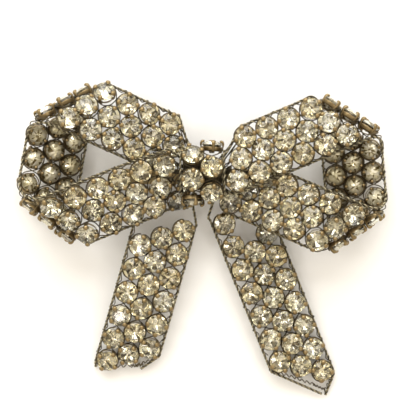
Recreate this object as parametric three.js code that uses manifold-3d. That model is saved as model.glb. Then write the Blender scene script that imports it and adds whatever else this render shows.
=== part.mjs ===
// Wired rhinestone bow brooch, lying on its back: +Z comes out of the front, +Y is up when it is worn.
// Millimetres. Two folded loops and two tails of three-row stone ribbon, a two-row knot, and a bar pin.
import * as THREE from 'three';
import { mergeVertices } from 'three/addons/utils/BufferGeometryUtils.js';
import Module from 'manifold-3d';

const wasm = await Module();
wasm.setup();

// ---- Claw cups and stones -------------------------------------------------------------------
const STONE_R = 2.3;
const STONE_TABLE_R = 1.3;
const STONE_CULET_Z = 0.35;
const STONE_GIRDLE_Z = 1.95;
const STONE_TOP_Z = 2.7;
const CUP_BASE_R = 2.15;
const CUP_RIM_R = 2.5;
const CUP_RIM_Z = 1.75;
const CUP_WALL = 0.28;
const CLAW_TOP_Z = 2.75;
const CLAW_TIP_R = 2.2;
const CLAWS = 4;
const LINK_R = 0.3;
const LINK_Z = 0.62;
const LINK_GAP = 0.3;

// ---- Ribbon edges ---------------------------------------------------------------------------
const EDGE_R = 0.3;
const EDGE_OFFSET = 2.72;
const EDGE_Z = 0.45;
const EDGE_MAX_TURN = 24;

// ---- Bow loops: a flat strip, then folds across it ------------------------------------------
// A fold starts where the strip's middle line reaches "at"; "skew" turns the crease off square, "turn" is
// the angle folded away from the stones, and "radius" is the fold's bend radius.
const LEFT_LOOP = {
  origin: [-4.75, 5.86, 6.34],
  heading: 155.9,
  pitch: 10.6,
  roll: 9,
  stonePitch: 5.62,
  rowSpacing: 4.57,
  topRow: -1,
  folds: [
    { at: 23.93, skew: 37.6, turn: 168, radius: 3.27 },
    { at: 51.5, skew: -28.9, turn: 174.3, radius: 4.49 },
    { at: 73.8, skew: 0, turn: -14.5, radius: 45 },
    { at: 85.5, skew: 40, turn: 32, radius: 6 },
  ],
  // Towards the knot the lower two rows are drawn down across the strip.
  gather: { from: 84, length: 8, shift: -2, sharedBy: 7.45 },
};
const RIGHT_LOOP = {
  origin: [6.53, 2.9, 10],
  heading: 22.5,
  pitch: 2.6,
  roll: -2.2,
  stonePitch: 5.57,
  rowSpacing: 4.44,
  topRow: 1,
  folds: [
    { at: 25, skew: -36.2, turn: 171.3, radius: 2.79 },
    { at: 51.14, skew: 31.5, turn: 188.3, radius: 3.84 },
    { at: 80.7, skew: 20.6, turn: -4.1, radius: 45 },
  ],
};
// Stones of each row by leg, numbered in stone pitches from the knot; the middle row sits half a pitch off.
const LOOP_ROWS = {
  left: {
    outer: { back_leg: [1, 5], turn: [6, 10], front_leg: [11, 16] },
    middle: { back_leg: [0.5, 5.5], turn: [6.5, 9.5], front_leg: [10.5, 16.5] },
    inner: { back_leg: [1, 6], turn: [7, 9], front_leg: [10, 16] },
  },
  right: {
    outer: { back_leg: [1, 5], turn: [6, 10], front_leg: [11, 16] },
    middle: { back_leg: [0.5, 5.5], turn: [6.5, 9.5], front_leg: [10.5, 15.5] },
    inner: { back_leg: [0, 6], turn: [7, 9], front_leg: [10, 15] },
  },
};
const LOOP_EDGE_START = { left: { outer: 0.75, inner: 0 }, right: { outer: 1, inner: 0 } };
const LOOP_EDGE_END = { left: 16.4, right: 16.3 };

// ---- Tails ----------------------------------------------------------------------------------
const LEFT_TAIL = {
  origin: [-7.74, -6.14, 5.4],
  heading: -105,
  pitch: 0.6,
  roll: -7,
  stonePitch: 5.88,
  rowSpacing: 4.53,
  folds: [
    { at: 9.5, skew: 7.4, turn: 6.3, radius: 40 },
    { at: 26, skew: 21.7, turn: 11, radius: 32 },
  ],
};
const RIGHT_TAIL = {
  origin: [6.75, -4.15, 4.45],
  heading: -68.2,
  pitch: -5,
  roll: -4.5,
  stonePitch: 6.01,
  rowSpacing: 4.4,
  folds: [
    { at: 11, skew: -14.6, turn: -4.3, radius: 60 },
    { at: 26, skew: -26, turn: 5, radius: 40 },
  ],
};
const TAIL_ROWS = {
  left: { inner: [1, 6], middle: [1.5, 6.5], outer: [2, 7] },
  right: { inner: [1, 7], middle: [2.5, 7.5], outer: [2, 8] },
};
const TAIL_EDGES = {
  left: { inner: [0.6, 7.1], outer: [0.4, 7.5] },
  right: { inner: [0.4, 8.8], outer: [0.8, 8.95] },
};
const TAIL_CLOSING = {
  left: { inner: { from: 6.3, length: 0.8, shift: -3.6 }, outer: null },
  right: { inner: { from: 7.25, length: 1.75, shift: 10 }, outer: { from: 8.3, length: 0.7, shift: -4 } },
};

// ---- Knot -----------------------------------------------------------------------------------
const KNOT_Y = 0.6;
const KNOT_Z = 8.5;
const KNOT_HALF_Y = 4.9;
const KNOT_HALF_Z = 3;
const KNOT_ROWS = {
  left: { x: -2.42, arcs: [-3.6, 1.3, 6] },
  right: { x: 2.05, arcs: [-6.2, -1.2, 3.8] },
};
const KNOT_EDGES = { left: -5.35, right: 5 };
const KNOT_EDGE_ARC = 5.6;
const CORE_HALF_Y = 4.2;
const CORE_HALF_Z = 2.3;
const CORE_X = [-1.8, 3.2];
const NECK_R = 0.5;
const NECK_Y = 1;
const NECK_Z = 6.45;
const NECK_X = [-9.8, 7.4];

// ---- Bar pin --------------------------------------------------------------------------------
const PIN_Y = -0.1;
const STEM_Z = 2.3;
const STEM_R = 0.5;
const STEM_TIP_X = 20.6;
const STEM_POINT = 4;
const HINGE_X = -18;
const BAR_X = [-21, 21];
const BAR_WIDTH = 3.6;
const BAR_Z = [4.6, 5.4];
const PLATE_Z = [4.08, 4.58];
const EAR_T = 0.8;
const EAR_GAP = 2;
const EAR_LENGTH = 3.6;
const RIVET_R = 0.45;
const RIVET_FIT = 0.07;
const RIVET_HEAD_R = 0.85;
const RIVET_HEAD_T = 0.4;
const EYE_R = 1.25;
const EYE_WIDTH = 1.4;
const CATCH_X = [17, 19.4];
const CATCH_R = 2.3;
const CHAMBER_X = [17.6, 18.8];
const CHAMBER_R = 1.9;
const BORE_R = 0.75;
const SLOT_HALF = 0.62;
const LOCK_R = 1.82;
const LOCK_X = [17.75, 18.65];
const LEVER_ANGLE = -40;
const LEVER_REACH = 3.05;
const LEVER_T = 0.5;
const LOCK_TURN = 80;
const LASHING_X = { left: -9, right: 6.3 };
const LASHING_R = 0.3;

// ---- Materials ------------------------------------------------------------------------------
const FINISH = {
  cup: { color: 0xa98a4c, metalness: 0.85, roughness: 0.42 },
  stone: { color: 0xe9e2c8, metalness: 0, roughness: 0.06, transparent: true, opacity: 0.45 },
  wire: { color: 0x5c5238, metalness: 0.8, roughness: 0.55 },
  bar: { color: 0x9a8350, metalness: 0.85, roughness: 0.45 },
  steel: { color: 0xa9a7a0, metalness: 0.9, roughness: 0.35 },
};
const group = new THREE.Group();

function addMesh(name, geometry, finish) {
  const mesh = new THREE.Mesh(geometry, new THREE.MeshStandardMaterial(FINISH[finish]));
  mesh.name = name;
  group.add(mesh);
}

// ---- Solids ---------------------------------------------------------------------------------
function toSolid(geometry) {
  const bare = geometry.clone();
  bare.deleteAttribute('normal');
  bare.deleteAttribute('uv');
  const merged = mergeVertices(bare, 1e-4);
  return new wasm.Manifold(new wasm.Mesh({
    numProp: 3,
    vertProperties: new Float32Array(merged.attributes.position.array),
    triVerts: new Uint32Array(merged.index.array),
  }));
}

function toGeometry(solid) {
  const mesh = solid.getMesh();
  const geometry = new THREE.BufferGeometry();
  const positions = new Float32Array(mesh.numVert * 3);
  for (let i = 0; i < mesh.numVert; i += 1) {
    for (let k = 0; k < 3; k += 1) {
      positions[i * 3 + k] = mesh.vertProperties[i * mesh.numProp + k];
    }
  }
  geometry.setAttribute('position', new THREE.BufferAttribute(positions, 3));
  geometry.setIndex(Array.from(mesh.triVerts));
  geometry.computeVertexNormals();
  return geometry;
}

function union(geometries) {
  return geometries.map(toSolid).reduce((whole, next) => whole.add(next));
}

// Skins a list of equal rings of points. Rings run counter-clockwise about the direction of travel. A loop
// of rings closes on itself; otherwise the two ends are capped.
function loft(rings, isLoop) {
  const count = rings[0].length;
  const positions = rings.flat().flatMap((point) => [point.x, point.y, point.z]);
  const index = [];
  const spans = isLoop ? rings.length : rings.length - 1;
  for (let i = 0; i < spans; i += 1) {
    const next = (i + 1) % rings.length;
    for (let j = 0; j < count; j += 1) {
      const a = i * count + j;
      const b = i * count + ((j + 1) % count);
      const c = next * count + ((j + 1) % count);
      const d = next * count + j;
      index.push(a, b, c, a, c, d);
    }
  }
  if (!isLoop) {
    const last = (rings.length - 1) * count;
    for (let j = 1; j < count - 1; j += 1) {
      index.push(0, j + 1, j);
      index.push(last, last + j, last + j + 1);
    }
  }
  const geometry = new THREE.BufferGeometry();
  geometry.setAttribute('position', new THREE.Float32BufferAttribute(positions, 3));
  geometry.setIndex(index);
  geometry.computeVertexNormals();
  return geometry;
}

// A straight bar between two points.
function rod(from, to, radius, sides) {
  const length = from.distanceTo(to);
  const geometry = new THREE.CylinderGeometry(radius, radius, length, sides);
  const turn = new THREE.Quaternion().setFromUnitVectors(
    new THREE.Vector3(0, 1, 0),
    to.clone().sub(from).normalize(),
  );
  geometry.applyQuaternion(turn);
  geometry.translate((from.x + to.x) / 2, (from.y + to.y) / 2, (from.z + to.z) / 2);
  return geometry;
}

// An open-backed cup with four claws, standing on z = 0.
function clawCup(columns) {
  const ring = (radiusAt, zAt) => Array.from({ length: columns }, (_, j) => {
    const angle = (j / columns) * 2 * Math.PI;
    const claw = Math.cos(CLAWS * (angle - Math.PI / 4)) > 0.5 ? 1 : 0;
    const r = radiusAt(claw);
    return new THREE.Vector3(r * Math.cos(angle), r * Math.sin(angle), zAt(claw));
  });
  const rings = [
    ring(() => CUP_BASE_R, () => 0),
    ring((claw) => (claw ? CLAW_TIP_R : CUP_RIM_R), (claw) => (claw ? CLAW_TOP_Z : CUP_RIM_Z)),
    ring(
      (claw) => (claw ? CLAW_TIP_R - CUP_WALL : CUP_RIM_R - CUP_WALL),
      (claw) => (claw ? CLAW_TOP_Z - 0.1 : CUP_RIM_Z),
    ),
    ring(() => CUP_BASE_R - CUP_WALL, () => 0),
  ];
  return loft(rings, true);
}

// A cup whose claws rise outside the stone's girdle and bend in over its crown.
function fittedCup(columns) {
  const ring = (radiusAt, zAt) => Array.from({ length: columns }, (_, j) => {
    const angle = (j / columns) * 2 * Math.PI;
    const claw = Math.cos(CLAWS * (angle - Math.PI / 4)) > 0.5 ? 1 : 0;
    const r = radiusAt(claw);
    return new THREE.Vector3(r * Math.cos(angle), r * Math.sin(angle), zAt(claw));
  });
  return loft([
    ring(() => CUP_BASE_R, () => 0),
    ring(() => CUP_RIM_R + 0.02, () => CUP_RIM_Z),
    ring((claw) => CUP_RIM_R + (claw ? 0.02 : 0), (claw) => CUP_RIM_Z + (claw ? 0.45 : 0.02)),
    ring((claw) => (claw ? CLAW_TIP_R - 0.1 : CUP_RIM_R - 0.02), (claw) => (claw ? CLAW_TOP_Z : CUP_RIM_Z + 0.04)),
    ring((claw) => (claw ? CLAW_TIP_R - 0.3 : CUP_RIM_R - CUP_WALL), (claw) => (claw ? CLAW_TOP_Z - 0.2 : CUP_RIM_Z)),
    ring(() => CUP_BASE_R - CUP_WALL, () => 0),
  ], true);
}

function stoneGeometry(grow) {
  const profile = [
    new THREE.Vector2(0, STONE_CULET_Z - grow),
    new THREE.Vector2(STONE_R + grow, STONE_GIRDLE_Z - grow),
    new THREE.Vector2(STONE_R + grow, STONE_GIRDLE_Z + 0.12 + grow),
    new THREE.Vector2(STONE_TABLE_R + grow, STONE_TOP_Z + grow),
    new THREE.Vector2(0, STONE_TOP_Z + grow),
  ];
  const geometry = new THREE.LatheGeometry(profile, 12);
  geometry.rotateX(Math.PI / 2);
  return geometry;
}

// ---- Strips ---------------------------------------------------------------------------------
function gatherShift(strip, u, v) {
  if (!strip.gather || u <= strip.gather.from) {
    return 0;
  }
  const along = (u - strip.gather.from) / strip.gather.length;
  const share = THREE.MathUtils.clamp(1 - v / strip.gather.sharedBy, 0, 1);
  return strip.gather.shift * share * along * along;
}

// Frame of a strip at u along it and v across it: point, along, across and stone side.
function stripFrame(strip, u, acrossStrip) {
  const [h, p, r] = [strip.heading, strip.pitch, strip.roll].map(THREE.MathUtils.degToRad);
  let origin = new THREE.Vector3(...strip.origin);
  let along = new THREE.Vector3(Math.cos(h) * Math.cos(p), Math.sin(h) * Math.cos(p), Math.sin(p));
  const level = new THREE.Vector3(-Math.sin(h), Math.cos(h), 0);
  const up = new THREE.Vector3().crossVectors(along, level);
  let across = level.clone().multiplyScalar(Math.cos(r)).addScaledVector(up, Math.sin(r));
  let face = up.clone().multiplyScalar(Math.cos(r)).addScaledVector(level, -Math.sin(r));
  const v = acrossStrip + gatherShift(strip, u, acrossStrip);
  for (const fold of strip.folds) {
    const skew = THREE.MathUtils.degToRad(fold.skew);
    const turn = THREE.MathUtils.degToRad(Math.abs(fold.turn));
    const side = Math.sign(fold.turn);
    const past = (u - fold.at) * Math.cos(skew) - v * Math.sin(skew);
    if (past <= 0) {
      break;
    }
    const angle = Math.min(past / fold.radius, turn);
    const inFold = past < fold.radius * turn;
    const travel = along.clone().multiplyScalar(Math.cos(skew)).addScaledVector(across, -Math.sin(skew));
    const crease = along.clone().multiplyScalar(Math.sin(skew)).addScaledVector(across, Math.cos(skew));
    const newTravel = travel.clone().multiplyScalar(Math.cos(angle)).addScaledVector(face, -side * Math.sin(angle));
    const newFace = face.clone().multiplyScalar(Math.cos(angle)).addScaledVector(travel, side * Math.sin(angle));
    const foot = inFold
      ? [u - past * Math.cos(skew), v + past * Math.sin(skew)]
      : [fold.at, 0];
    const point = origin.clone().addScaledVector(along, foot[0]).addScaledVector(across, foot[1]);
    point.addScaledVector(travel, fold.radius * Math.sin(angle));
    point.addScaledVector(face, -side * fold.radius * (1 - Math.cos(angle)));
    along = newTravel.clone().multiplyScalar(Math.cos(skew)).addScaledVector(crease, Math.sin(skew));
    across = newTravel.clone().multiplyScalar(-Math.sin(skew)).addScaledVector(crease, Math.cos(skew));
    face = newFace;
    if (inFold) {
      return { point, along, across, face };
    }
    origin = point;
    origin.addScaledVector(along, -(fold.at + fold.radius * turn * Math.cos(skew)));
    origin.addScaledVector(across, fold.radius * turn * Math.sin(skew));
  }
  const point = origin.clone().addScaledVector(along, u).addScaledVector(across, v);
  return { point, along, across, face };
}

function placed(geometry, frame) {
  const matrix = new THREE.Matrix4().makeBasis(frame.along, frame.across, frame.face);
  matrix.setPosition(frame.point);
  return geometry.clone().applyMatrix4(matrix);
}

// A row of cups with a link wire between each pair. A link to a cup of another piece stops short of it.
function cupRow(cup, frames, nextFrame) {
  const pieces = frames.map((frame) => placed(cup, frame));
  const all = nextFrame ? [...frames, nextFrame] : frames;
  for (let i = 0; i < all.length - 1; i += 1) {
    const isStub = i === frames.length - 1;
    const reach = CUP_BASE_R - 0.02;
    const start = all[i].point.clone().addScaledVector(all[i].face, LINK_Z);
    start.addScaledVector(all[i].along, reach);
    const end = all[i + 1].point.clone().addScaledVector(all[i + 1].face, LINK_Z);
    end.addScaledVector(all[i + 1].along, isStub ? -reach - LINK_GAP - CUP_WALL : -reach);
    pieces.push(rod(start, end, LINK_R, 3));
  }
  return union(pieces);
}

function rowFrames(strip, side, first, last) {
  const frames = [];
  for (let k = first; k <= last; k += 1) {
    frames.push(stripFrame(strip, k * strip.stonePitch, side * strip.rowSpacing));
  }
  return frames;
}

// A wire along an edge of the strip, with more stations where the strip folds. From stone pitch
// closing.from on it runs across the strip's end, by closing.shift over closing.length pitches.
function edgeWire(strip, side, first, last, closing) {
  const edgeV = side * (strip.rowSpacing + EDGE_OFFSET);
  const vAt = (u) => {
    if (!closing) {
      return edgeV;
    }
    const share = THREE.MathUtils.clamp((u / strip.stonePitch - closing.from) / closing.length, 0, 1);
    return edgeV + closing.shift * share;
  };
  const frameAt = (u) => {
    const frame = stripFrame(strip, u, vAt(u));
    const ahead = stripFrame(strip, u + 0.2, vAt(u + 0.2));
    const behind = stripFrame(strip, u - 0.2, vAt(u - 0.2));
    const along = ahead.point.sub(behind.point);
    along.addScaledVector(frame.face, -along.dot(frame.face));
    frame.along = along.normalize();
    frame.across = frame.face.clone().cross(frame.along);
    return frame;
  };
  const stations = [];
  const split = (u0, u1, depth) => {
    const turned = frameAt(u0).along.angleTo(frameAt(u1).along) + frameAt(u0).face.angleTo(frameAt(u1).face);
    if (depth > 0 && THREE.MathUtils.radToDeg(turned) > EDGE_MAX_TURN) {
      const middle = (u0 + u1) / 2;
      split(u0, middle, depth - 1);
      split(middle, u1, depth - 1);
    } else {
      stations.push(u0);
    }
  };
  for (let k = first; k < last; k += 1) {
    split(k * strip.stonePitch, Math.min(k + 1, last) * strip.stonePitch, 3);
  }
  stations.push(last * strip.stonePitch);
  if (closing) {
    stations.push(closing.from * strip.stonePitch);
    stations.sort((a, b) => a - b);
  }
  const rings = stations.map((u) => wireRing(frameAt(u), EDGE_Z, EDGE_R, 4));
  return loft(rings, false);
}

function wireRing(frame, height, radius, sides) {
  const centre = frame.point.clone().addScaledVector(frame.face, height);
  return Array.from({ length: sides }, (_, j) => {
    const angle = ((j + 0.5) / sides) * 2 * Math.PI;
    return centre.clone()
      .addScaledVector(frame.across, radius * Math.cos(angle))
      .addScaledVector(frame.face, radius * Math.sin(angle));
  });
}

// ---- Loops ----------------------------------------------------------------------------------
const cup = clawCup(8);
const LOOPS = { left: LEFT_LOOP, right: RIGHT_LOOP };
for (const [side, strip] of Object.entries(LOOPS)) {
  const acrossSide = { outer: strip.topRow, middle: 0, inner: -strip.topRow };
  for (const [row, legs] of Object.entries(LOOP_ROWS[side])) {
    for (const [leg, [first, last]] of Object.entries(legs)) {
      const frames = rowFrames(strip, acrossSide[row], first, last);
      const isEnd = leg === 'front_leg';
      const next = isEnd ? null : rowFrames(strip, acrossSide[row], last + 1, last + 1)[0];
      addMesh(`${side}_loop_${leg}_${row}_row`, toGeometry(cupRow(cup, frames, next)), 'cup');
    }
  }
  for (const row of ['outer', 'inner']) {
    const wire = edgeWire(strip, acrossSide[row], LOOP_EDGE_START[side][row], LOOP_EDGE_END[side]);
    addMesh(`${side}_loop_${row}_edge_wire`, wire, 'wire');
  }
}

// ---- Tails ----------------------------------------------------------------------------------
const TAILS = { left: LEFT_TAIL, right: RIGHT_TAIL };
for (const [side, strip] of Object.entries(TAILS)) {
  const acrossSide = side === 'left' ? { outer: -1, middle: 0, inner: 1 } : { outer: 1, middle: 0, inner: -1 };
  for (const [row, [first, last]] of Object.entries(TAIL_ROWS[side])) {
    const frames = rowFrames(strip, acrossSide[row], first, last);
    addMesh(`${side}_tail_${row}_row`, toGeometry(cupRow(cup, frames, null)), 'cup');
  }
  for (const [row, [first, last]] of Object.entries(TAIL_EDGES[side])) {
    const closing = TAIL_CLOSING[side][row];
    addMesh(`${side}_tail_${row}_edge_wire`, edgeWire(strip, acrossSide[row], first, last, closing), 'wire');
  }
}

// ---- Knot -----------------------------------------------------------------------------------
// Frame on the knot's oval at an arc length from its front middle line; arcs grow towards -Y.
function knotFrame(x, arc) {
  const steps = 400;
  const direction = Math.sign(arc) || 1;
  let angle = 0;
  let travelled = 0;
  while (travelled < Math.abs(arc)) {
    const slope = Math.hypot(KNOT_HALF_Y * Math.cos(angle), KNOT_HALF_Z * Math.sin(angle));
    const step = Math.min((2 * Math.PI) / steps, (Math.abs(arc) - travelled) / slope + 1e-9);
    angle += step;
    travelled += slope * step;
  }
  angle *= direction;
  const point = new THREE.Vector3(
    x,
    KNOT_Y - KNOT_HALF_Y * Math.sin(angle),
    KNOT_Z + KNOT_HALF_Z * Math.cos(angle),
  );
  const along = new THREE.Vector3(0, -KNOT_HALF_Y * Math.cos(angle), -KNOT_HALF_Z * Math.sin(angle)).normalize();
  const across = new THREE.Vector3(1, 0, 0);
  const face = new THREE.Vector3().crossVectors(along, across);
  return { point, along, across, face };
}

const knotCup = toGeometry(toSolid(fittedCup(8)).subtract(toSolid(stoneGeometry(0.03))));
for (const [side, { x, arcs }] of Object.entries(KNOT_ROWS)) {
  const frames = arcs.map((arc) => knotFrame(x, arc));
  addMesh(`knot_${side}_row`, toGeometry(cupRow(knotCup, frames, null)), 'cup');
  frames.forEach((frame, i) => {
    addMesh(`knot_${side}_stone_${i + 1}`, placed(stoneGeometry(0), frame), 'stone');
  });
  const rings = [];
  for (let arc = -KNOT_EDGE_ARC; arc <= KNOT_EDGE_ARC + 0.01; arc += KNOT_EDGE_ARC / 6) {
    rings.push(wireRing(knotFrame(KNOT_EDGES[side], arc), EDGE_Z, EDGE_R, 4));
  }
  addMesh(`knot_${side}_edge_wire`, loft(rings, false), 'wire');
}

const coreShape = new THREE.Shape();
coreShape.absellipse(0, 0, CORE_HALF_Y, CORE_HALF_Z, 0, 2 * Math.PI);
const coreBody = new THREE.ExtrudeGeometry(coreShape, {
  depth: CORE_X[1] - CORE_X[0],
  curveSegments: 20,
  bevelEnabled: false,
});
coreBody.applyMatrix4(new THREE.Matrix4().makeBasis(
  new THREE.Vector3(0, 1, 0),
  new THREE.Vector3(0, 0, 1),
  new THREE.Vector3(1, 0, 0),
));
coreBody.translate(CORE_X[0], KNOT_Y, KNOT_Z - 0.1);
const neck = rod(
  new THREE.Vector3(NECK_X[0], NECK_Y, NECK_Z),
  new THREE.Vector3(NECK_X[1], NECK_Y, NECK_Z),
  NECK_R,
  10,
);
addMesh('knot_core', toGeometry(union([coreBody, neck])), 'wire');

// ---- Bar pin --------------------------------------------------------------------------------
function box(x, y, z) {
  const geometry = new THREE.BoxGeometry(x[1] - x[0], y[1] - y[0], z[1] - z[0]);
  geometry.translate((x[0] + x[1]) / 2, (y[0] + y[1]) / 2, (z[0] + z[1]) / 2);
  return geometry;
}

function disc(radius, x, y, z, sides) {
  return rod(new THREE.Vector3(x[0], y, z), new THREE.Vector3(x[1], y, z), radius, sides);
}

const around = (half) => [PIN_Y - half, PIN_Y + half];

// The bar is a flat strip with rounded ends.
const barShape = new THREE.Shape();
barShape.absarc(BAR_X[1] - BAR_WIDTH / 2, PIN_Y, BAR_WIDTH / 2, -Math.PI / 2, Math.PI / 2);
barShape.absarc(BAR_X[0] + BAR_WIDTH / 2, PIN_Y, BAR_WIDTH / 2, Math.PI / 2, (3 * Math.PI) / 2);
const bar = new THREE.ExtrudeGeometry(barShape, {
  depth: BAR_Z[1] - BAR_Z[0],
  curveSegments: 8,
  bevelEnabled: false,
});
bar.translate(0, 0, BAR_Z[0]);
addMesh('pin_bar', bar, 'bar');

// Hinge bracket: a plate under the bar with two ears down to the rivet and the surface it rests on.
const earX = [HINGE_X - EAR_LENGTH / 2, HINGE_X + EAR_LENGTH / 2];
const outerHalf = EAR_GAP / 2 + EAR_T;
let bracket = toSolid(box(earX, around(outerHalf), [0, PLATE_Z[1]]));
bracket = bracket.subtract(toSolid(box([earX[0] - 1, earX[1] + 1], around(EAR_GAP / 2), [-1, PLATE_Z[0]])));
const rivetHole = rod(
  new THREE.Vector3(HINGE_X, PIN_Y - 3, STEM_Z),
  new THREE.Vector3(HINGE_X, PIN_Y + 3, STEM_Z),
  RIVET_R + RIVET_FIT,
  20,
);
bracket = bracket.subtract(toSolid(rivetHole));
addMesh('hinge_bracket', toGeometry(bracket), 'bar');

const headAt = outerHalf + 0.05;
const rivetProfile = [
  [0, -headAt - RIVET_HEAD_T],
  [RIVET_HEAD_R * 0.7, -headAt - RIVET_HEAD_T],
  [RIVET_HEAD_R, -headAt - RIVET_HEAD_T * 0.4],
  [RIVET_HEAD_R, -headAt],
  [RIVET_R, -headAt],
  [RIVET_R, headAt],
  [RIVET_HEAD_R, headAt],
  [RIVET_HEAD_R, headAt + RIVET_HEAD_T * 0.4],
  [RIVET_HEAD_R * 0.7, headAt + RIVET_HEAD_T],
  [0, headAt + RIVET_HEAD_T],
].map(([r, y]) => new THREE.Vector2(r, y));
const rivet = new THREE.LatheGeometry(rivetProfile, 16);
rivet.translate(HINGE_X, PIN_Y, STEM_Z);
addMesh('hinge_rivet', rivet, 'steel');

// Stem: an eye around the rivet and a round wire that ends in a point.
const eye = rod(
  new THREE.Vector3(HINGE_X, PIN_Y - EYE_WIDTH / 2, STEM_Z),
  new THREE.Vector3(HINGE_X, PIN_Y + EYE_WIDTH / 2, STEM_Z),
  EYE_R,
  20,
);
const stemProfile = [
  [0, HINGE_X + 0.8],
  [STEM_R, HINGE_X + 0.8],
  [STEM_R, STEM_TIP_X - STEM_POINT],
  [STEM_R * 0.55, STEM_TIP_X - 1.2],
  [0, STEM_TIP_X],
].map(([r, x]) => new THREE.Vector2(r, x));
const stemRod = new THREE.LatheGeometry(stemProfile, 12);
stemRod.rotateZ(-Math.PI / 2);
stemRod.translate(0, PIN_Y, STEM_Z);
const stem = union([eye, stemRod]).subtract(toSolid(rivetHole));
addMesh('pin_stem', toGeometry(stem), 'steel');

// Catch: a slotted barrel under the bar, hollow inside for the turning lock.
let barrel = union([
  disc(CATCH_R, CATCH_X, PIN_Y, STEM_Z, 32),
  box(CATCH_X, around(1.2), [STEM_Z + 1.5, PLATE_Z[1]]),
]);
barrel = barrel.subtract(toSolid(disc(CHAMBER_R, CHAMBER_X, PIN_Y, STEM_Z, 32)));
barrel = barrel.subtract(toSolid(disc(BORE_R, [CATCH_X[0] - 1, CATCH_X[1] + 1], PIN_Y, STEM_Z, 24)));
const slot = box([CATCH_X[0] - 1, CATCH_X[1] + 1], around(SLOT_HALF), [STEM_Z - 4, STEM_Z]);
barrel = barrel.subtract(toSolid(slot));

// Window in the barrel for the lock's lever, over its whole turn.
const windowAngles = [LEVER_ANGLE - 10, LEVER_ANGLE + LOCK_TURN + 10].map(THREE.MathUtils.degToRad);
const windowShape = new THREE.Shape();
windowShape.moveTo(Math.cos(windowAngles[0]), Math.sin(windowAngles[0]));
windowShape.lineTo(4 * Math.cos(windowAngles[0]), 4 * Math.sin(windowAngles[0]));
windowShape.absarc(0, 0, 4, windowAngles[0], windowAngles[1]);
windowShape.lineTo(Math.cos(windowAngles[1]), Math.sin(windowAngles[1]));
const windowCut = new THREE.ExtrudeGeometry(windowShape, {
  depth: CHAMBER_X[1] - CHAMBER_X[0],
  curveSegments: 12,
  bevelEnabled: false,
});
windowCut.applyMatrix4(new THREE.Matrix4().makeBasis(
  new THREE.Vector3(0, 1, 0),
  new THREE.Vector3(0, 0, 1),
  new THREE.Vector3(1, 0, 0),
));
windowCut.translate(CHAMBER_X[0], PIN_Y, STEM_Z);
barrel = barrel.subtract(toSolid(windowCut));
addMesh('catch_barrel', toGeometry(barrel), 'bar');

const lever = box(
  [(LOCK_X[0] + LOCK_X[1]) / 2 - 0.35, (LOCK_X[0] + LOCK_X[1]) / 2 + 0.35],
  [BORE_R + 0.4, LEVER_REACH],
  [-LEVER_T / 2, LEVER_T / 2],
);
lever.rotateX(THREE.MathUtils.degToRad(LEVER_ANGLE));
lever.translate(0, PIN_Y, STEM_Z);
let lock = union([disc(LOCK_R, LOCK_X, PIN_Y, STEM_Z, 32), lever]);
lock = lock.subtract(toSolid(disc(BORE_R, [LOCK_X[0] - 1, LOCK_X[1] + 1], PIN_Y, STEM_Z, 24)));
lock = lock.subtract(toSolid(slot));
addMesh('catch_lock', toGeometry(lock), 'steel');

// Lashings: closed wire loops that tie the bar to the core's necks.
for (const [side, x] of Object.entries(LASHING_X)) {
  const half = BAR_WIDTH / 2 + 0.25 + LASHING_R;
  const low = BAR_Z[0] - 0.2 - LASHING_R;
  const high = NECK_Z + NECK_R + 0.15 + LASHING_R;
  const corner = 0.35;
  const outline = [
    [-half + corner, low], [half - corner, low], [half, low + corner], [half, high - 3 * corner],
    [half - 3 * corner, high], [3 * corner - half, high], [-half, high - 3 * corner], [-half, low + corner],
  ];
  const centre = new THREE.Vector3(x, PIN_Y, (low + high) / 2);
  const rings = outline.map(([y, z], i) => {
    const before = outline[(i + outline.length - 1) % outline.length];
    const after = outline[(i + 1) % outline.length];
    const along = new THREE.Vector3(0, after[0] - before[0], after[1] - before[1]).normalize();
    const across = new THREE.Vector3(1, 0, 0);
    const face = new THREE.Vector3().crossVectors(along, across);
    const point = new THREE.Vector3(centre.x, PIN_Y + y, z);
    return wireRing({ point, along, across, face }, 0, LASHING_R, 6);
  });
  addMesh(`bar_lashing_${side}`, loft(rings, true), 'wire');
}

// ---- Origin: bottom centre of the whole object ------------------------------------------------
const bounds = new THREE.Box3().setFromObject(group);
const middle = bounds.getCenter(new THREE.Vector3());
group.position.set(-middle.x, -middle.y, -bounds.min.z);
group.updateMatrixWorld(true);

export default group;
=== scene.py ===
"""Looks of the wired rhinestone bow brooch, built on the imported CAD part. Lengths are in millimetres until a
mesh is made; the part's frame is in metres."""

import math

import bpy
import numpy as np
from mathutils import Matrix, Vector


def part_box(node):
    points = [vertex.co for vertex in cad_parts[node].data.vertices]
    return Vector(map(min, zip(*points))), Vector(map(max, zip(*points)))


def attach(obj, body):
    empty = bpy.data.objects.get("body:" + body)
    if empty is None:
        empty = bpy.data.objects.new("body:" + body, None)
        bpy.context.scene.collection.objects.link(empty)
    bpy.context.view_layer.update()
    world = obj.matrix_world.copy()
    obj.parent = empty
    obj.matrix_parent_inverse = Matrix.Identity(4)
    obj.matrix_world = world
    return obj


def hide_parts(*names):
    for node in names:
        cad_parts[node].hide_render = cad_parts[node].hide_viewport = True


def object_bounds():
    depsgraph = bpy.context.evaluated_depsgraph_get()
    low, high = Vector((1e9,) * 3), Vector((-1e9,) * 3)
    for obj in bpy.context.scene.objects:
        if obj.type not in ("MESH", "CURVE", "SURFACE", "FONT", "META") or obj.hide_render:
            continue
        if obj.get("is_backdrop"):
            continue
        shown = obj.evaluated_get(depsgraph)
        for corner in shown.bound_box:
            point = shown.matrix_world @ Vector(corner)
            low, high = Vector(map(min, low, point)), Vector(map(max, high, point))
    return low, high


MM = 0.001

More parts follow.
